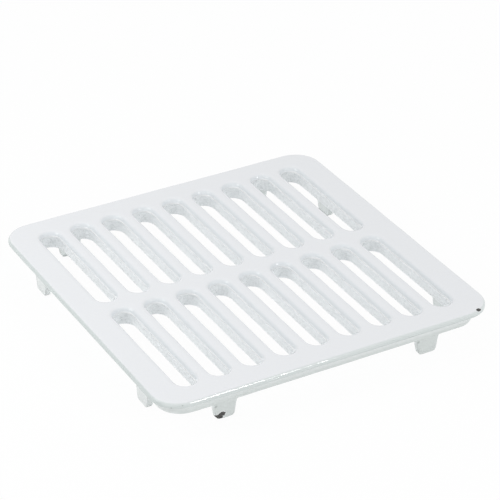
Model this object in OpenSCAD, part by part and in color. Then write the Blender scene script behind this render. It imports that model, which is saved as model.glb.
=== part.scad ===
// Square floor sink grate: one enamelled iron casting.
// A thin flange carries the load on the sink's ledge, a deeper body hangs inside the ledge,
// two rows of round-ended drain slots run through both, and eight lugs under the body keep
// the grate centred when it is dropped in.
// The part stands on its lugs: the origin is the middle of the footprint, at the lug feet,
// with +Z up and the slots running along Y.

/* [Flange] */
// Side of the square flange
flange_side = 222; // [190:1:260]
// Thickness of the flange
flange_t = 3.6; // [3.1:0.1:5]
// Radius of the flange's corners, seen from above
flange_corner_r = 17.5; // [10:0.5:24]
// Radius that rounds the flange's top edge
flange_top_r = 2.2; // [0.8:0.1:2.3]
// Radius that rounds the flange's lower edge
flange_under_r = 0.5; // [0.3:0.1:0.8]

/* [Body] */
// Width of the seat under the flange, outside the body
seat_w = 6.1; // [4:0.1:9]
// How far the body hangs below the flange
body_drop = 8.6; // [6:0.1:12]
// Radius of the body's corners, seen from above
body_corner_r = 15; // [8:0.5:18]
// Radius that rounds the body's lower edge
body_under_r = 0.5; // [0.3:0.1:2]

/* [Slots] */
// Width of a slot at its narrowest, between the bars
slot_w = 12.8; // [9:0.1:14]
// Width of a bar at its widest
bar_w = 8.7; // [7:0.1:12]
// Width of the bar that crosses the middle, between the two rows
cross_bar_w = 11.2; // [9:0.1:16]
// Width of the body beyond the ends of the slots, and the least width beside the outer slots
end_rim_w = 10.1; // [8:0.1:16]
// Radius that rounds the top edge of a slot
slot_lip_r = 2.8; // [1:0.1:3]
// Draft of the slot walls: a slot widens downwards by this angle, so that nothing lodges in it
slot_draft = 8.5; // [2:0.5:9]

/* [Lugs] */
// Distance from the body's next side to the middle of a lug
lug_inset = 36.8; // [33:0.2:45]
// How far a lug's outer face lies in from the body's side
lug_set_in = 1.7; // [0.5:0.1:5]
// Width of a lug where it leaves the body
lug_root_w = 15.4; // [12:0.1:20]
// Width of a lug at its foot
lug_foot_w = 11.4; // [8:0.1:12]
// Thickness of a lug where it leaves the body
lug_t = 4.3; // [3.5:0.1:5.5]
// Draft of a lug's inner face
lug_draft = 2; // [1:0.5:5]
// How far a lug hangs below the body
lug_drop = 12.5; // [7:0.1:14]
// Radius of the foot's corners, seen from the front
lug_corner_r = 2.7; // [1:0.1:3]
// Radius that rounds the foot's two long edges
lug_toe_r = 1.3; // [0.5:0.1:1.7]
// Radius of the fillet between a lug and the body
lug_root_r = 2.2; // [1:0.1:3]

/* [Hidden] */
$fn = 64;
// Overshoot of a cutting solid past the face that it opens
past = 1;

body_side = flange_side - 2 * seat_w;
body_z = lug_drop;
flange_z = body_z + body_drop;
top_z = flange_z + flange_t;

slot_pitch = slot_w + bar_w;
slot_columns = 1 + floor((body_side - 2 * end_rim_w - slot_w) / slot_pitch);
// Length of a slot from end wall to end wall, and of the straight stretch between its two ends
slot_len = (body_side - 2 * end_rim_w - cross_bar_w) / 2;
slot_run = slot_len - slot_w;
slot_y = (cross_bar_w + slot_len) / 2;
slot_wall_z = top_z - slot_lip_r;

lug_x = body_side / 2 - lug_inset;
lug_face_y = lug_set_in - body_side / 2;
// Lean of a lug's two edges, which draw together towards the foot
lug_lean = atan((lug_root_w - lug_foot_w) / 2 / lug_drop);
// The lug is rooted this far up inside the body, past the body's rounded edge
lug_root_z = body_z + body_drop / 2;

// A square slab with round corners. Its section is the child: it runs from the middle of a
// corner's turn, at x = 0, out to the corner's radius, and up from z0 to z0 + h.
module swept_slab(side, corner_r, z0, h) {
    reach = side / 2 - corner_r;
    for (turn = [0:90:270])
        rotate(turn) {
            translate([reach, reach, z0])
                rotate_extrude(angle = 90) children();
            translate([reach, reach, z0])
                rotate([90, 0, 0])
                    linear_extrude(2 * reach) children();
        }
    translate([-reach, -reach, z0]) cube([2 * reach, 2 * reach, h]);
}

// A rectangle from the origin, w wide and h high, with its two outer corners rounded.
// A radius of 0 leaves a corner square.
module edge_section(w, h, upper_r, lower_r) {
    difference() {
        square([w, h]);
        if (upper_r > 0)
            translate([w - upper_r, h - upper_r])
                difference() {
                    square(upper_r + past);
                    circle(upper_r);
                }
        if (lower_r > 0)
            translate([w - lower_r, lower_r])
                difference() {
                    mirror([0, 1]) square(lower_r + past);
                    circle(lower_r);
                }
    }
}

module flange() {
    swept_slab(flange_side, flange_corner_r, flange_z, flange_t)
        edge_section(flange_corner_r, flange_t, flange_top_r, flange_under_r);
}

module body() {
    swept_slab(body_side, body_corner_r, body_z, body_drop)
        edge_section(body_corner_r, body_drop, 0, body_under_r);
}

// Half of a slot's section, from its middle at x = 0 out to the wall: the wall leans out
// towards the underside, and above it the lip curves out to the top face.
module slot_half_section() {
    wall_x = slot_w / 2;
    depth = slot_wall_z - body_z + past;
    foot_x = wall_x + depth * tan(slot_draft);
    difference() {
        polygon([
            [0, body_z - past],
            [foot_x, body_z - past],
            [wall_x, slot_wall_z],
            [wall_x + slot_lip_r, slot_wall_z],
            [wall_x + slot_lip_r, top_z + past],
            [0, top_z + past]
        ]);
        translate([wall_x + slot_lip_r, slot_wall_z]) circle(slot_lip_r);
    }
}

// The space of one slot, with its middle on the Z axis
module slot() {
    for (end = [0, 180])
        rotate(end) {
            translate([0, slot_run / 2, 0])
                rotate_extrude(angle = 180) slot_half_section();
            rotate([90, 0, 0])
                linear_extrude(slot_run, center = true) slot_half_section();
        }
}

module slots() {
    for (row = [-1, 1])
        for (column = [0:slot_columns - 1])
            translate([(column - (slot_columns - 1) / 2) * slot_pitch, row * slot_y, 0]) slot();
}

// Half of a lug's outline as it is seen from the front, from its middle at x = 0
module lug_half_outline() {
    side = [cos(lug_lean), -sin(lug_lean)];
    // Middle of the arc that rounds the foot's corner, and where that arc meets the lug's edge
    corner = [lug_foot_w / 2 + lug_corner_r * (tan(lug_lean) - 1 / cos(lug_lean)), lug_corner_r];
    corner_end = corner + lug_corner_r * side;
    // The same two points for the fillet under the body
    root = [
        lug_foot_w / 2 + (body_z - lug_root_r) * tan(lug_lean) + lug_root_r / cos(lug_lean),
        body_z - lug_root_r
    ];
    root_end = root - lug_root_r * side;
    difference() {
        polygon([
            [0, 0],
            [corner[0], 0],
            corner_end,
            root_end,
            root,
            [root[0], body_z],
            [root[0], lug_root_z],
            [0, lug_root_z]
        ]);
        translate(root) circle(lug_root_r);
    }
    intersection() {
        translate(corner) circle(lug_corner_r);
        square([lug_root_w, body_z]);
    }
}

// A lug's section through its thickness: y = 0 is the outer face
module lug_section() {
    foot_t = lug_t - lug_drop * tan(lug_draft);
    toe_r = min(lug_toe_r, 0.45 * foot_t);
    difference() {
        polygon([
            [0, 0],
            [foot_t, 0],
            [lug_t, body_z],
            [lug_t, lug_root_z],
            [0, lug_root_z]
        ]);
        for (edge = [[0, 1], [foot_t, -1]])
            translate([edge[0] + edge[1] * toe_r, toe_r])
                difference() {
                    translate([edge[1] < 0 ? 0 : -toe_r - past, -toe_r - past])
                        square(toe_r + past);
                    circle(toe_r);
                }
    }
}

// One lug on the front side, with its middle at x = 0
module lug() {
    translate([0, lug_face_y, 0])
        intersection() {
            rotate([90, 0, 0])
                translate([0, 0, -lug_t])
                    linear_extrude(lug_t)
                        for (half = [0, 1]) mirror([half, 0]) lug_half_outline();
            rotate([90, 0, 90])
                linear_extrude(2 * lug_root_w, center = true) lug_section();
        }
}

module lugs() {
    for (turn = [0:90:270])
        rotate(turn)
            for (side = [-1, 1]) translate([side * lug_x, 0, 0]) lug();
}

module grate() {
    color([0.9, 0.91, 0.92])
        difference() {
            union() {
                flange();
                body();
                lugs();
            }
            slots();
        }
}

grate();
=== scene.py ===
import math
import bmesh
import bpy
from mathutils import Matrix, Vector, noise


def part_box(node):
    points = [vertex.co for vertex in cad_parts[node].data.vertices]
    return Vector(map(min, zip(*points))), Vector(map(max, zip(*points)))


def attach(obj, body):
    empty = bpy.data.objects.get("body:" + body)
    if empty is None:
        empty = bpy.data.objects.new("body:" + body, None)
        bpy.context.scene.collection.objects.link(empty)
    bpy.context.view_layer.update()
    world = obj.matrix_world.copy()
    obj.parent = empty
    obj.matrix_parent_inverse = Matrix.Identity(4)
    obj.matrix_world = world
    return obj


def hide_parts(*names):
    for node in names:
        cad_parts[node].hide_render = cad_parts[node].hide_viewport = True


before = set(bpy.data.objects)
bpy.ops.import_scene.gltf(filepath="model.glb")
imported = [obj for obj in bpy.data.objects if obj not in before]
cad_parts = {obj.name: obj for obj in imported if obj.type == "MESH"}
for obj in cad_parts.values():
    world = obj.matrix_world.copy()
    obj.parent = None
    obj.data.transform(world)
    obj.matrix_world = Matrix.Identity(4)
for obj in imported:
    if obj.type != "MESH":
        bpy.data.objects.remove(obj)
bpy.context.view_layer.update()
low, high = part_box("grate")
mm = 0.001
print("frame loaded")

# The casting, in millimetres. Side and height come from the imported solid.
casting = {
    "side": (high.x - low.x) / mm,
    "height": (high.z - low.z) / mm,
    "flangeT": 3.6,
    "flangeCorner": 17.5,
    "flangeTopR": 2.2,
    "flangeUnderR": 0.5,
    "seat": 6.1,
    "partingZ": 22.7,  # height of the parting groove round the flange's edge
    "partingDepth": 0.42,
    "partingBead": 0.25,  # share of that depth by which the edge swells below the groove
    "partingRows": (0.26, 0, -0.28, -0.7),  # rows of the mesh, above and below the groove
    "bodyCorner": 15.0,
    "bodyUnderR": 0.5,
    "slotW": 12.8,
    "barW": 8.7,
    "crossBar": 11.2,
    "endRim": 10.1,
    "columns": 9,
    "lipR": 2.8,
    "draft": 8.5,  # degrees
    "ridge": 0.36,  # how far the casting's parting ridge stands out of a slot wall
    "rimLip": 1.4,  # flat left between the lip of a slot's outer end and the ring round all slots
    "drawIn": (0.978, 0.982),  # pulls the lower ring's corners in, clear of the body's round corners
    "weld": 0.02,
}

# One of the eight lugs under the body
lug = {
    "drop": 12.5,
    "inset": 36.8,
    "setIn": 1.7,
    "rootW": 15.4,
    "footW": 11.4,
    "thick": 4.3,
    "draft": 2.0,  # degrees
    "rootR": 2.2,
    "innerRootR": 0.5,
    "cornerR": 2.7,
    "toeR": 1.3,
    "hold": 0.9,  # rows that keep the lug's upright edges crisp
}

# How finely each stretch is divided before the surface is smoothed
rows = {"slotRun": 20, "halfTurn": 12, "quarterTurn": 12, "lip": 4, "topEdge": 4, "wall": 3}


def chain(bm, points):
    verts = [bm.verts.new(p) for p in points]
    return [bm.edges.new(pair) for pair in zip(verts, verts[1:])]


def endVerts(edges):
    return list({v for e in edges for v in e.verts})


def runAlong(bm, edges, direction, lengths):
    for length in lengths:
        made = bmesh.ops.extrude_edge_only(bm, edges=edges)["geom"]
        fresh = {g for g in made if isinstance(g, bmesh.types.BMVert)}
        edges = [g for g in made if isinstance(g, bmesh.types.BMEdge) and fresh.issuperset(g.verts)]
        bmesh.ops.translate(bm, verts=list(fresh), vec=direction * length)
    return edges


def turnAbout(bm, edges, centre, angle, steps):
    made = bmesh.ops.spin(bm, geom=edges + endVerts(edges), cent=centre, axis=(0, 0, 1),
                          angle=angle, steps=steps)["geom_last"]
    return [g for g in made if isinstance(g, bmesh.types.BMEdge)]


def arcPoints(centreX, centreZ, radius, start, stop, steps):
    angles = [math.radians(start + (stop - start) * i / steps) for i in range(steps + 1)]
    return [(centreX + radius * math.cos(a), centreZ + radius * math.sin(a)) for a in angles]


# Each shape is made in a mesh of its own first, which keeps the operators quick
def addShape(bm, shape, *sizes):
    own = bmesh.new()
    shape(own, *sizes)
    mesh = bpy.data.meshes.new("shape")
    own.to_mesh(mesh)
    own.free()
    bm.from_mesh(mesh)
    bpy.data.meshes.remove(mesh)


# Sizes that follow from the ones above
def workOut(c, g):
    s = {"top": c["height"], "half": c["side"] / 2}
    s["seatZ"] = s["top"] - c["flangeT"]
    s["under"] = g["drop"]
    s["bodyHalf"] = s["half"] - c["seat"]
    s["pitch"] = c["slotW"] + c["barW"]
    s["slotLen"] = s["bodyHalf"] - c["endRim"] - c["crossBar"] / 2
    s["slotRun"] = s["slotLen"] - c["slotW"]
    s["slotY"] = (c["crossBar"] + s["slotLen"]) / 2
    s["slotX"] = c["slotW"] / 2
    s["wallTop"] = s["top"] - c["lipR"]
    s["slotFoot"] = s["slotX"] + (s["wallTop"] - s["under"]) * math.tan(math.radians(c["draft"]))
    s["arrayX"] = s["pitch"] * c["columns"] / 2
    s["arrayY"] = s["slotY"] + s["slotLen"] / 2 + c["lipR"] + c["rimLip"]
    s["lugX"] = s["bodyHalf"] - g["inset"]
    s["lugFace"] = s["bodyHalf"] - g["setIn"]
    s["lugBack"] = s["lugFace"] - g["thick"]
    return s


size = workOut(casting, lug)


# Section of a slot's wall, from the flat top face down to the flat underside
def slotSection():
    c, s = casting, size
    lip = arcPoints(s["slotX"] + c["lipR"], s["wallTop"], c["lipR"], 90, 180, rows["lip"])
    lean = math.tan(math.radians(c["draft"]))
    ridge = [(s["slotX"] - c["ridge"], s["wallTop"] - 0.35), (s["slotX"] + 0.1, s["wallTop"] - 0.75)]
    footZ = s["under"] + c["bodyUnderR"]
    wall = []
    for i in range(1, rows["wall"] + 1):
        z = s["wallTop"] - 0.75 + (footZ - s["wallTop"] + 0.75) * i / rows["wall"]
        wall.append((s["slotX"] + (s["wallTop"] - z) * lean, z))
    edge = [(s["slotFoot"] + 0.15, s["under"] + 0.12), (s["slotFoot"] + c["bodyUnderR"], s["under"])]
    return lip + ridge + wall + edge


# Draws a ring of the slot's own outline out to the rectangle of plate that belongs to the slot
def squareOff(bm, edges, outer):
    made = bmesh.ops.extrude_edge_only(bm, edges=edges)["geom"]
    halfX, run, midY = size["pitch"] / 2, size["slotRun"] / 2, size["slotY"]
    for v in [g for g in made if isinstance(g, bmesh.types.BMVert)]:
        side = 1 if v.co.x > 0 else -1
        past = abs(v.co.y - midY) - run
        if past < casting["weld"]:
            v.co.x = side * halfX
            continue
        end = 1 if v.co.y > midY else -1
        reach = outer - midY - run if end > 0 else midY - run
        slope = past / max(abs(v.co.x), 1e-6)
        if slope > 1:
            v.co.x = side * halfX / slope
            v.co.y = midY + end * (run + reach)
        else:
            v.co.x = side * halfX
            v.co.y = midY + end * (run + reach * slope)


def slotCell(bm):
    s = size
    runs = [s["slotRun"] / rows["slotRun"]] * rows["slotRun"]
    lowY, highY = s["slotY"] - s["slotRun"] / 2, s["slotY"] + s["slotRun"] / 2
    edges = chain(bm, [(x, lowY, z) for x, z in slotSection()])
    for direction, y in ((1, highY), (-1, lowY)):
        edges = runAlong(bm, edges, Vector((0, direction, 0)), runs)
        edges = turnAbout(bm, edges, (0, y, 0), math.pi, rows["halfTurn"])
    bmesh.ops.remove_doubles(bm, verts=bm.verts[:], dist=casting["weld"])
    for z, outer in ((s["top"], s["arrayY"]), (s["under"], s["lugBack"] - lug["innerRootR"] - 1.2)):
        ring = [e for e in bm.edges if e.is_boundary and abs(e.verts[0].co.z - z) < casting["weld"]]
        squareOff(bm, ring, outer)


def slotArray(bm):
    slotCell(bm)
    cell = bm.verts[:] + bm.edges[:] + bm.faces[:]
    other = [g for g in bmesh.ops.duplicate(bm, geom=cell)["geom"] if isinstance(g, bmesh.types.BMVert)]
    bmesh.ops.scale(bm, verts=other, vec=(1, -1, 1))
    pair = bm.verts[:] + bm.edges[:] + bm.faces[:]
    middle = (casting["columns"] - 1) / 2
    for column in range(casting["columns"]):
        if column != middle:
            made = bmesh.ops.duplicate(bm, geom=pair)["geom"]
            shift = ((column - middle) * size["pitch"], 0, 0)
            bmesh.ops.translate(bm, verts=[g for g in made if isinstance(g, bmesh.types.BMVert)], vec=shift)
    bmesh.ops.remove_doubles(bm, verts=bm.verts[:], dist=casting["weld"])
    cornerY = size["slotY"] + size["slotRun"] / 2 + 7
    for v in bm.verts:
        corner = abs(v.co.x) > size["arrayX"] - 0.1 and abs(v.co.y) > cornerY
        if v.co.z < size["under"] + 0.1 and corner:
            v.co.x *= casting["drawIn"][0]
            v.co.y *= casting["drawIn"][1]


# A section carried round a rounded square. Lengths are the steps along half of each pair of sides.
def roundSquare(bm, reach, section, alongX, alongY):
    edges = chain(bm, [(-reach, -reach - r, z) for r, z in section])
    for turn in range(4):
        angle = turn * math.pi / 2
        direction = Vector((math.cos(angle), math.sin(angle), 0))
        corner = Matrix.Rotation(angle, 3, "Z") @ Vector((reach, -reach, 0))
        edges = runAlong(bm, edges, direction, alongY if turn % 2 else alongX)
        edges = turnAbout(bm, edges, corner, math.pi / 2, rows["quarterTurn"])


def flangeRim(bm, alongX, alongY):
    c, s = casting, size
    reach = s["half"] - c["flangeCorner"]
    r, lower = c["flangeCorner"], s["seatZ"] + c["flangeUnderR"]
    top = arcPoints(r - c["flangeTopR"], s["top"] - c["flangeTopR"], c["flangeTopR"], 90, 18, rows["topEdge"])
    parting = [(r, c["partingZ"] + lift) for lift in c["partingRows"]]
    under = arcPoints(r - c["flangeUnderR"], lower, c["flangeUnderR"], 0, -90, 2)
    steps = [[2 * reach / n] * n for n in (alongX, alongY)]
    roundSquare(bm, reach, top + parting + under + [(r - 1.3, s["seatZ"])], *steps)


def lugSteps():
    half = lug["rootW"] / 2 + lug["rootR"]
    middle = (half - lug["hold"]) / 2
    return [lug["hold"], middle, middle, middle, middle, lug["hold"]], half


def bodyRim(bm, alongX, alongY):
    c, s = casting, size
    reach = s["bodyHalf"] - c["bodyCorner"]
    r = c["bodyCorner"]
    edge = c["bodyUnderR"]
    strip = [s["lugFace"] + lug["innerRootR"], s["lugFace"] - 0.4, s["lugBack"] + 0.4,
             s["lugBack"] - lug["innerRootR"]]
    section = [(r + 0.7, s["seatZ"]), (r + 0.2, s["seatZ"] - 0.2), (r, s["seatZ"] - 0.7)]
    section += [(r, s["seatZ"] - 2), (r, s["under"] + 2), (r, s["under"] + edge)]
    section += [(r - 0.12, s["under"] + 0.12), (r - edge, s["under"])]
    section += [(w - reach, s["under"]) for w in strip]
    across, half = lugSteps()
    outerLen, innerLen = reach - s["lugX"] - half, 2 * (s["lugX"] - half)
    steps = []
    for n in (alongX, alongY):
        inner = n - 2 * len(across) - 6
        steps.append([outerLen / 3] * 3 + across + [innerLen / inner] * inner + across + [outerLen / 3] * 3)
    roundSquare(bm, reach, section, *steps)


# The open rings of edges at one height, inner ones first
def openRings(bm, z):
    left = {e for e in bm.edges if e.is_boundary and all(abs(v.co.z - z) < casting["weld"] for v in e.verts)}
    rings = []
    while left:
        ring, queue = [], [left.pop()]
        while queue:
            ring.append(queue.pop())
            linked = {e for v in ring[-1].verts for e in v.link_edges} & left
            left -= linked
            queue += linked
        rings.append(ring)
    return sorted(rings, key=lambda ring: max(v.co.x for e in ring for v in e.verts))


def joinRings(bm, z, cuts=0):
    inner, outer = openRings(bm, z)
    faces = bmesh.ops.bridge_loops(bm, edges=inner + outer)["faces"]
    known = set(inner + outer)
    rungs = list({e for f in faces for e in f.edges if e not in known})
    if cuts:
        bmesh.ops.subdivide_edges(bm, edges=rungs, cuts=cuts, use_grid_fill=True)


# Half width, outer face and inner face of a lug at a depth under the body
def lugAt(depth):
    lean = (lug["rootW"] - lug["footW"]) / 2 / lug["drop"]
    half = lug["rootW"] / 2 - lean * depth
    face, back = size["lugFace"], size["lugBack"] + depth * math.tan(math.radians(lug["draft"]))
    fillet = lug["rootR"]
    if depth < fillet:
        flare = 1 - math.sqrt(1 - (1 - depth / fillet) ** 2)
        half += fillet * flare
        face += lug["innerRootR"] * flare
        back -= lug["innerRootR"] * flare
    left = lug["drop"] - depth
    if left < lug["cornerR"]:
        half -= lug["cornerR"] - math.sqrt(lug["cornerR"] ** 2 - (lug["cornerR"] - left) ** 2)
    if left < lug["toeR"]:
        pull = lug["toeR"] - math.sqrt(lug["toeR"] ** 2 - (lug["toeR"] - left) ** 2)
        face -= pull
        back += pull
    return half, face, back


# The lug that a point under the body belongs to: the turn of its side, and its middle along it
def lugOf(p):
    turns = [Matrix.Rotation(turn * math.pi / 2, 3, "Z") for turn in range(4)]
    spin = min(turns, key=lambda turn: (turn.inverted() @ p).y)
    local = spin.inverted() @ p
    return spin, local, math.copysign(size["lugX"], local.x)


def growLugs(bm):
    fillet, foot = lug["rootR"], lug["cornerR"]
    depths = [fillet * (1 - math.cos(math.radians(a))) for a in (30, 60, 90)]
    depths += [fillet + (lug["drop"] - fillet - foot) * i / 3 for i in (1, 2, 3)]
    depths += [lug["drop"] - foot * (1 - math.sin(math.radians(a))) for a in (20, 40, 60, 78)] + [lug["drop"]]
    half, face, back = lugAt(0)
    faces = []
    for f in bm.faces:
        if abs(f.calc_center_median().z - size["under"]) < 0.05:
            _, p, middle = lugOf(f.calc_center_median())
            if abs(p.x - middle) < half and back < -p.y < face:
                faces.append(f)
    for depth in depths:
        made = bmesh.ops.extrude_face_region(bm, geom=faces)["geom"]
        bmesh.ops.delete(bm, geom=faces, context="FACES")
        faces = [g for g in made if isinstance(g, bmesh.types.BMFace)]
        newHalf, newFace, newBack = lugAt(depth)
        stretch = (newFace - newBack) / (face - back)
        for v in {v for f in faces for v in f.verts}:
            spin, p, middle = lugOf(v.co)
            p.x = middle + (p.x - middle) * newHalf / half
            p.y = -(newBack + (-p.y - back) * stretch)
            p.z = size["under"] - depth
            v.co = spin @ p
        half, face, back = newHalf, newFace, newBack


# Fired enamel over rough iron is never quite true: slow waves everywhere, a parting groove that
# comes and goes, and a few places where the coat is broken. Waves are pairs of length and height
# in millimetres.
surface = {
    "seed": (31.0, 7.0, 53.0),
    "waves": ((17, 0.13), (6.5, 0.075)),
    "partingWave": 24,
    "partingLeast": 0.4,
    "chipReach": 1.3,  # a chip fades out this many of its radii from its middle
    "chipSlope": 0.6,
}

# Broken and pitted places: middle, radii and depth in millimetres. Where bare is 1 the iron shows.
chips = [
    {"at": (-72.9, -103.2, 1.8), "radii": (3.2, 2.4, 2.1), "depth": 0.45, "bare": 1},
    {"at": (-70.2, -103.2, 3.6), "radii": (2.1, 1.4, 1.6), "depth": 0.3, "bare": 1},
    {"at": (99.6, -108.8, 24.2), "radii": (1.7, 1.0, 1.1), "depth": 0.2, "bare": 1},
    {"at": (-74.2, -103.2, 10.0), "radii": (1.1, 1.2, 1.2), "depth": 0.25, "bare": 0},
    {"at": (61.6, -103.2, 9.9), "radii": (0.9, 1.2, 1.3), "depth": 0.25, "bare": 0},
    {"at": (-98.9, -109.9, 23.2), "radii": (0.7, 0.9, 0.5), "depth": 0.1, "bare": 0},
    {"at": (-104.4, -107.0, 21.6), "radii": (0.7, 0.8, 0.5), "depth": 0.1, "bare": 0},
]


def weather(bm):
    bm.normal_update()
    seed = Vector(surface["seed"])
    moves = []
    for v in bm.verts:
        move = sum(noise.noise(v.co / length + seed) * height for length, height in surface["waves"])
        parting = 0.5 + noise.noise(v.co / surface["partingWave"] + seed * 2)
        if max(abs(v.co.x), abs(v.co.y)) > size["bodyHalf"] + 3:
            strength = casting["partingDepth"] * min(max(parting, surface["partingLeast"]), 1)
            below = casting["partingZ"] - v.co.z
            if abs(below) < 0.05:
                move -= strength
            elif 0.2 < below < 0.75:
                move += strength * casting["partingBead"]
        for chip in chips:
            away = v.co - Vector(chip["at"])
            reach = Vector([away[i] / chip["radii"][i] for i in range(3)]).length
            move -= chip["depth"] * min(max(surface["chipReach"] - reach, 0) / surface["chipSlope"], 1)
        moves.append(v.normal * move)
    for v, move in zip(bm.verts, moves):
        flat = v.co.z < 0.01 or abs(v.co.z - size["seatZ"]) < 0.01
        v.co += Vector((move.x, move.y, max(move.z, 0) if flat else move.z))


def castGrate():
    bm = bmesh.new()
    addShape(bm, slotArray)
    s, quarter = size, rows["quarterTurn"]
    alongX = casting["columns"] * rows["halfTurn"] // 2 - quarter
    alongY = 2 * (rows["slotRun"] + rows["halfTurn"] // 2) - quarter
    addShape(bm, flangeRim, alongX, alongY)
    addShape(bm, bodyRim, alongX, alongY)
    bmesh.ops.remove_doubles(bm, verts=bm.verts[:], dist=casting["weld"])
    joinRings(bm, s["top"], cuts=2)
    joinRings(bm, s["seatZ"])
    joinRings(bm, s["under"])
    growLugs(bm)
    bmesh.ops.remove_doubles(bm, verts=bm.verts[:], dist=casting["weld"] / 4)
    bmesh.ops.recalc_face_normals(bm, faces=bm.faces[:])
    weather(bm)
    for f in bm.faces:
        f.smooth = True
    bmesh.ops.scale(bm, verts=bm.verts[:], vec=(mm, mm, mm))
    mesh = bpy.data.meshes.new("grateCasting")
    bm.to_mesh(mesh)
    print("casting:", len(bm.faces), "faces,", sum(e.is_boundary for e in bm.edges), "open edges")
    bm.free()
    piece = bpy.data.objects.new("grateCasting", mesh)
    bpy.context.scene.collection.objects.link(piece)
    smooth = piece.modifiers.new("smooth", "SUBSURF")
    smooth.levels = smooth.render_levels = 1
    return piece


piece = castGrate()


# Any socket of a material. Sums of sockets and numbers add their own Math nodes.
class Flow:
    def __init__(self, tree, socket=None):
        self.tree, self.socket = tree, socket

    def make(self, kind, settings=None, inputs=None, output=0):
        node = self.tree.nodes.new(kind)
        for name, value in (settings or {}).items():
            setattr(node, name, value)
        for name, value in (inputs or {}).items():
            if isinstance(value, Flow):
                self.tree.links.new(value.socket, node.inputs[name])
            else:
                node.inputs[name].default_value = value
        return Flow(self.tree, node.outputs[output] if node.outputs else None)

    def math(self, operation, *values):
        return self.make("ShaderNodeMath", {"operation": operation}, dict(enumerate(values)))

    def __add__(self, other):
        return self.math("ADD", self, other)

    __radd__ = __add__

    def __sub__(self, other):
        return self.math("SUBTRACT", self, other)

    def __rsub__(self, other):
        return self.math("SUBTRACT", other, self)

    def __mul__(self, other):
        return self.math("MULTIPLY", self, other)

    __rmul__ = __mul__

    def __abs__(self):
        return self.math("ABSOLUTE", self)

    def least(self, other):
        return self.math("MINIMUM", self, other)

    def most(self, other):
        return self.math("MAXIMUM", self, other)

    # 0 to 1 as the value goes from start to stop, in either direction
    def fade(self, start, stop):
        ends = {"From Min": start, "From Max": stop, "Value": self}
        return self.make("ShaderNodeMapRange", {"interpolation_type": "SMOOTHSTEP"}, ends)

    def vector(self, operation, *values, output=0):
        ends = dict(enumerate((self, *values)))
        return self.make("ShaderNodeVectorMath", {"operation": operation}, ends, output)

    # This value mixes two colours
    def blend(self, colourA, colourB):
        ends = {0: self, 6: colourA, 7: colourB}
        return self.make("ShaderNodeMix", {"data_type": "RGBA"}, ends, 2)

    # Noise on this position, with features of the given size along each axis
    def grain(self, sizes, detail=2.0, rough=0.5):
        place = self.vector("DIVIDE", sizes)
        ends = {"Vector": place, "Scale": 1.0, "Detail": detail, "Roughness": rough}
        return self.make("ShaderNodeTexNoise", {}, ends)


# Colours of the coat by place, and of what shows through it. Top, wall, lip, edge and body are one enamel:
# their differences are partly painted light and shade, the walls lighter and the lip, flange edge and body
# darker, and partly thinner, greener enamel on the edges
enamel = {
    "top": (0.80, 0.813, 0.838, 1),
    "wall": (0.838, 0.856, 0.876, 1),
    "lip": (0.76, 0.79, 0.816, 1),
    "edge": (0.70, 0.742, 0.74, 1),
    "body": (0.735, 0.768, 0.76, 1),
    # The next grey is the colour of painted shade, in the wall hollows, on the flange's groove band and on
    # its left side, and also of the fine random mottle
    "hollowShade": (0.58, 0.63, 0.625, 1),
    "pit": (0.20, 0.23, 0.215, 1),
    "iron": (0.03, 0.029, 0.028, 1),
    "ironPale": (0.15, 0.145, 0.135, 1),
    # The next colour is the pale rim round each chip, and also the colour of the painted light on the body's
    # sides
    "rim": (0.90, 0.91, 0.92, 1),
    # The next near-white is a painted highlight along the slot walls' ridge
    "crestHighlight": (0.965, 0.97, 0.975, 1),
    "roughness": 0.1,
    "wallRoughness": 0.3,
    "mottleRoughness": 0.04,
    "chipRoughness": 0.75,
    "ior": 1.58,
}


# Size of each grain in millimetres along X, Y and Z, then its detail and how rough that is
grains = {
    "ragged": ((1.3, 1.3, 1.3), 3, 0.6),
    "streak": ((2.6, 6.5, 0.8), 3, 0.65),  # drawn out along the slots
    "lump": ((1.3, 1.3, 1.3), 3, 0.65),
    "speck": ((0.9, 0.9, 0.9), 1, 0.5),
    "fine": ((0.8, 0.8, 0.8), 2, 0.6),
    "iron": ((0.9, 0.9, 0.9), 3, 0.7),
    "mottle": ((22, 22, 22), 1, 0.5),
    "peel": ((2.4, 2.4, 2.4), 2, 0.5),
    "swell": ((7, 7, 7), 1, 0.5),
}

# Where each finish and each painted light or shade starts and ends. Slopes are cosines to straight up, the
# others millimetres.
places = {
    "upright": (0.94, 0.68),
    "slotField": (98.5, 96.5),
    "endWall": (0.75, 0.4),
    "wall": (size["wallTop"] + 0.3, size["wallTop"] - 0.6),
    "cheek": (size["under"] + 0.4, size["under"] - 0.6),
    "body": (size["seatZ"] + 0.1, size["seatZ"] - 0.4),
    "grooveShadeFoot": (size["seatZ"] - 0.4, size["seatZ"]),
    "grooveShadeTop": (casting["partingZ"], size["seatZ"] + 0.2),
    "grooveShadeRun": (-60, 60),
    "paintedLightHeight": (13.6, 15.8),
    "paintedLightRun": (-70, 0),
    "frontSide": (-100, -103),
    "leftSide": (-96, -100),
    "leftShade": (-106, -109.5),
    "leftShadeFoot": (size["seatZ"] - 0.3, size["seatZ"]),
    "crestHighlightFoot": (size["wallTop"] - 1.7, size["wallTop"] - 0.7),
    "crestHighlightTop": (size["wallTop"] + 0.5, size["wallTop"] - 0.3),
}

# How much of a second colour each effect lays over the first
shares = {
    "paintedLight": 0.7,
    "grooveShade": 0.75,
    "leftShade": 0.65,
    "fine": 0.09,
    "hollowShade": 0.4,
    "speck": 0.35,
    "pit": 0.45,
    "rim": 0.8,
}

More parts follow.
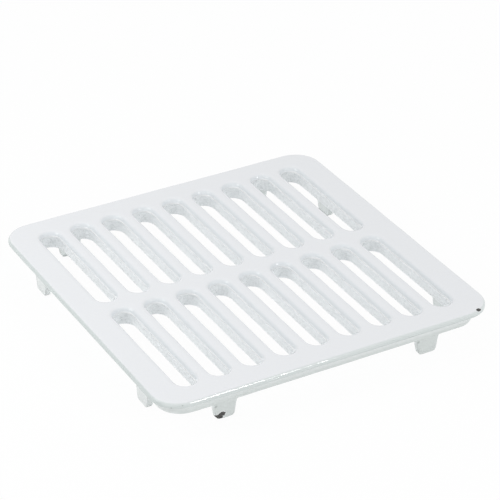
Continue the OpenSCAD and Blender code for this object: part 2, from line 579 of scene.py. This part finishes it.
# Heights that the light catches, in millimetres
relief = {
    "peel": 0.035,
    "swell": 0.11,
    "uprightPeel": 0.8,  # share by which peel and swell grow on upright faces
    "streak": 0.6,
    "lump": 0.34,
    "cheek": 0.12,
    "speck": 0.08,
    "broken": 0.25,
    "brokenGrain": 0.5,
    "pit": 0.2,
    "rim": 0.06,
}


# How far chips and pits reach, in their own radii, and how ragged their edges are
chipEdges = {
    "broken": (1.06, 0.94),
    "rim": (1.5, 1.15),
    "pit": (1.1, 0.3),
    "chipRagged": 0.9,
    "pitRagged": 1.6,
}


# Masks of the bare chips, of the thick rim round each, and of the small pits
def chipMasks(place, ragged):
    broken = rim = pitted = 0
    for chip in chips:
        off = place.vector("SUBTRACT", chip["at"]).vector("DIVIDE", chip["radii"])
        unevenness = chipEdges["chipRagged" if chip["bare"] else "pitRagged"]
        reach = off.vector("LENGTH", output="Value") + ragged * unevenness
        if chip["bare"]:
            broken = reach.fade(*chipEdges["broken"]).most(broken)
            rim = reach.fade(*chipEdges["rim"]).most(rim)
        else:
            pitted = (reach.fade(*chipEdges["pit"]) * shares["pit"]).most(pitted)
    return broken, rim, pitted


def makeEnamel():
    material = bpy.data.materials.new("enamel")
    material.use_nodes = True
    tree = material.node_tree
    tree.nodes.clear()
    flow = Flow(tree)
    where = flow.make("ShaderNodeTexCoord", {}, {}, "Object")
    place = where.vector("MULTIPLY", (1 / mm,) * 3)
    x, y, z = (place.make("ShaderNodeSeparateXYZ", {}, {0: place}, axis) for axis in range(3))
    facing = flow.make("ShaderNodeTexCoord", {}, {}, "Normal")
    up = flow.make("ShaderNodeSeparateXYZ", {}, {0: facing}, 2)
    acrossX = abs(flow.make("ShaderNodeSeparateXYZ", {}, {0: facing}, 0))
    ragged, streak, lump, speck, fine, iron, mottle, peel, swell = (
        place.grain(*grain) for grain in grains.values())
    ragged = ragged - 0.5

    upright = abs(up).fade(*places["upright"])
    inside = abs(x).most(abs(y)).fade(*places["slotField"])
    wall = upright * inside * z.fade(*places["wall"])
    endWall = wall * acrossX.fade(*places["endWall"])
    cheek = upright * z.fade(*places["cheek"])
    # Painted shade: a darker band on the flange's outer face, from the parting groove down to its lower edge,
    # stronger towards +x
    grooveShade = z.fade(*places["grooveShadeFoot"]) * z.fade(*places["grooveShadeTop"])
    grooveShade = grooveShade * (1 - inside) * (0.4 + x.fade(*places["grooveShadeRun"]) * 0.6)
    # Painted light on the body's sides: the front face is lightened except near its foot, more towards +x,
    # and the left face all over
    paintedLight = z.fade(*places["paintedLightHeight"]) * (0.55 + x.fade(*places["paintedLightRun"]) * 0.35)
    paintedLight = (paintedLight * y.fade(*places["frontSide"])).most(x.fade(*places["leftSide"]) * 0.6)
    # Painted shade: the flange's left side is darker above the seat
    leftShade = upright * x.fade(*places["leftShade"]) * z.fade(*places["leftShadeFoot"])
    # Painted highlight: a broken near-white line along the ridge just under each slot's lip, strongest on the
    # walls that face along x
    crestHighlight = inside * upright * z.fade(*places["crestHighlightFoot"]) * z.fade(*places["crestHighlightTop"])
    crestHighlight = crestHighlight * streak.fade(0.36, 0.5) * (0.1 + acrossX * 0.9)

    # Rough iron telegraphs through the enamel on the slot walls as relief, and the walls are painted darker
    # where that relief is low, as painted shade in its hollows
    hollowShade = wall * (lump * 0.5 + streak * 0.5).fade(0.56, 0.38)
    specks = speck.fade(0.66, 0.74) * wall
    broken, rim, pitted = chipMasks(place, ragged)

    # The coat's colour by place: partly painted light and shade, lighter on the slot walls and darker on the
    # lips, flange edge and body, and partly thinner enamel on the edges. The body's sides also carry the
    # painted light of the mask above.
    bodySide = (paintedLight * shares["paintedLight"]).blend(enamel["body"], enamel["rim"])
    side = z.fade(*places["body"]).blend(enamel["edge"], bodySide)
    colour = upright.blend(enamel["top"], inside.blend(side, wall.blend(enamel["lip"], enamel["wall"])))
    # Painted shade of the flange's groove band and of its left side, laid over the coat
    edgeShade = (grooveShade * shares["grooveShade"] + leftShade * shares["leftShade"]).least(1)
    colour = edgeShade.blend(colour, enamel["hollowShade"])
    colour = (fine.fade(0.25, 0.75) * shares["fine"]).blend(colour, enamel["hollowShade"])
    colour = (hollowShade * shares["hollowShade"]).blend(colour, enamel["hollowShade"])
    colour = crestHighlight.blend(colour, enamel["crestHighlight"])
    colour = (specks * shares["speck"] * (0.4 + endWall)).blend(colour, enamel["pit"])
    colour = pitted.blend(colour, enamel["pit"])
    colour = (rim * shares["rim"]).blend(colour, enamel["rim"])
    colour = broken.blend(colour, iron.fade(0.45, 0.75).blend(enamel["iron"], enamel["ironPale"]))

    rough = enamel["roughness"] + wall * (enamel["wallRoughness"] - enamel["roughness"])
    rough = rough + mottle.fade(0.3, 0.7) * enamel["mottleRoughness"]
    rough = rough + broken * (enamel["chipRoughness"] - enamel["wallRoughness"])

    height = (peel * relief["peel"] + swell * relief["swell"]) * (1 + upright * relief["uprightPeel"])
    height = height + wall * (streak * relief["streak"] + lump * relief["lump"])
    height = height + cheek * lump * relief["cheek"] - specks * relief["speck"] - pitted * relief["pit"]
    height = height - broken * (relief["broken"] + ragged * relief["brokenGrain"])
    height = height + rim * (1 - broken) * relief["rim"]
    bump = flow.make("ShaderNodeBump", {}, {"Height": height, "Distance": mm, "Strength": 1.0})
    shader = flow.make("ShaderNodeBsdfPrincipled", {}, {
        "Base Color": colour,
        "Roughness": rough,
        "IOR": enamel["ior"],
        "Normal": bump,
    })
    flow.make("ShaderNodeOutputMaterial", {}, {"Surface": shader})
    return material


piece.data.materials.append(makeEnamel())
print("enamel made")

# Camera, at the photograph's viewing angle and distance
view = {
    "azimuth": 29.656,
    "elevation": 31.038,
    "roll": -0.388,
    "distance": 1.3848,
    "aim": (0.014565, 0.015244),
    "lens": 162.115,
    "sensor": 36.0,
}


def placeCamera():
    azimuth, elevation, roll = (math.radians(view[k]) for k in ("azimuth", "elevation", "roll"))
    level = math.cos(elevation)
    forward = Vector((math.sin(azimuth) * level, math.cos(azimuth) * level, -math.sin(elevation)))
    right = forward.cross(Vector((0, 0, 1))).normalized()
    up = right.cross(forward)
    tiltedRight = math.cos(roll) * right - math.sin(roll) * up
    tiltedUp = math.cos(roll) * up + math.sin(roll) * right
    aim = Vector((*view["aim"], high.z))
    camera = bpy.data.objects.new("camera", bpy.data.cameras.new("camera"))
    bpy.context.scene.collection.objects.link(camera)
    placed = Matrix((tiltedRight, tiltedUp, -forward)).transposed().to_4x4()
    placed.translation = aim - forward * view["distance"]
    camera.matrix_world = placed
    camera.data.lens, camera.data.sensor_width = view["lens"], view["sensor"]
    camera.data.clip_start, camera.data.clip_end = 0.05, 20
    bpy.context.scene.camera = camera


placeCamera()
print("camera placed")

room = {
    "horizon": (0.5, 0.51, 0.5, 1),
    "overhead": (0.845, 0.845, 0.845, 1),
    "floorSide": 8.0,
    "lift": (0.1, 0.65),  # the world grows from its horizon to its overhead colour between these
    "floorColour": (0.85, 0.87, 0.862, 1),
    "floorWhite": 0.96,  # share of plain white on the floor, so that a trace of shadow stays
}

# Soft boxes: where they stand, what they point at, width and height, all in metres, and strength
# in watts. The light table stands for the bright sheet under the grate, which lights the slot walls.
lamps = {
    "leftBox": {"at": (-0.52, 0.12, 0.42), "to": (0, 0, 0), "size": (0.35, 0.35), "watts": 1.05},
    "rightBox": {"at": (0.505, -1.316, 0.72), "to": (-0.07, -0.11, 0.02), "size": (0.15, 0.42), "watts": 4.1},
    "lightTable": {"at": (0, 0, 0.002), "to": (0, 0, 1), "size": (0.2, 0.2), "watts": 0.043},
}


# Rays that see the background itself, and not its light
def directlySeen(flow):
    camera, glossy, through = (flow.make("ShaderNodeLightPath", {}, {}, f"Is {kind} Ray")
                               for kind in ("Camera", "Glossy", "Transmission"))
    return camera.most(glossy).most(through)


def makeFloor():
    bm = bmesh.new()
    bmesh.ops.create_grid(bm, x_segments=1, y_segments=1, size=room["floorSide"] / 2)
    mesh = bpy.data.meshes.new("floor")
    bm.to_mesh(mesh)
    bm.free()
    floor = bpy.data.objects.new("floor", mesh)
    bpy.context.scene.collection.objects.link(floor)
    material = bpy.data.materials.new("paleFloor")
    material.use_nodes = True
    tree = material.node_tree
    tree.nodes.clear()
    flow = Flow(tree)
    seen = directlySeen(flow) * room["floorWhite"]
    matt = flow.make("ShaderNodeBsdfDiffuse", {}, {"Color": room["floorColour"]})
    white = flow.make("ShaderNodeEmission", {}, {"Color": (1, 1, 1, 1), "Strength": 1.0})
    shown = flow.make("ShaderNodeMixShader", {}, {0: seen, 1: matt, 2: white})
    behind = flow.make("ShaderNodeNewGeometry", {}, {}, "Backfacing")
    clear = flow.make("ShaderNodeBsdfTransparent")
    oneSided = flow.make("ShaderNodeMixShader", {}, {0: behind, 1: shown, 2: clear})
    flow.make("ShaderNodeOutputMaterial", {}, {"Surface": oneSided})
    mesh.materials.append(material)


def makeWorld():
    world = bpy.data.worlds.new("studio")
    world.use_nodes = True
    tree = world.node_tree
    tree.nodes.clear()
    flow = Flow(tree)
    seen = directlySeen(flow)
    heading = flow.make("ShaderNodeTexCoord", {}, {}, "Generated")
    lift = flow.make("ShaderNodeSeparateXYZ", {}, {0: heading}, 2).fade(*room["lift"])
    colour = seen.blend(lift.blend(room["horizon"], room["overhead"]), (1, 1, 1, 1))
    sky = flow.make("ShaderNodeBackground", {}, {"Color": colour, "Strength": 1.0})
    flow.make("ShaderNodeOutputWorld", {}, {"Surface": sky})
    bpy.context.scene.world = world


def makeLamps():
    for name, facts in lamps.items():
        light = bpy.data.lights.new(name, "AREA")
        light.shape = "RECTANGLE"
        light.size, light.size_y = facts["size"]
        light.energy = facts["watts"]
        lamp = bpy.data.objects.new(name, light)
        lamp.visible_camera = False
        lamp.location = facts["at"]
        lamp.rotation_euler = (Vector(facts["to"]) - lamp.location).to_track_quat("-Z", "Y").to_euler()
        bpy.context.scene.collection.objects.link(lamp)


makeFloor()
makeWorld()
makeLamps()
bpy.context.scene.view_settings.view_transform = "Standard"
print("floor, world and lamps made")

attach(piece, "root")
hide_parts("grate")
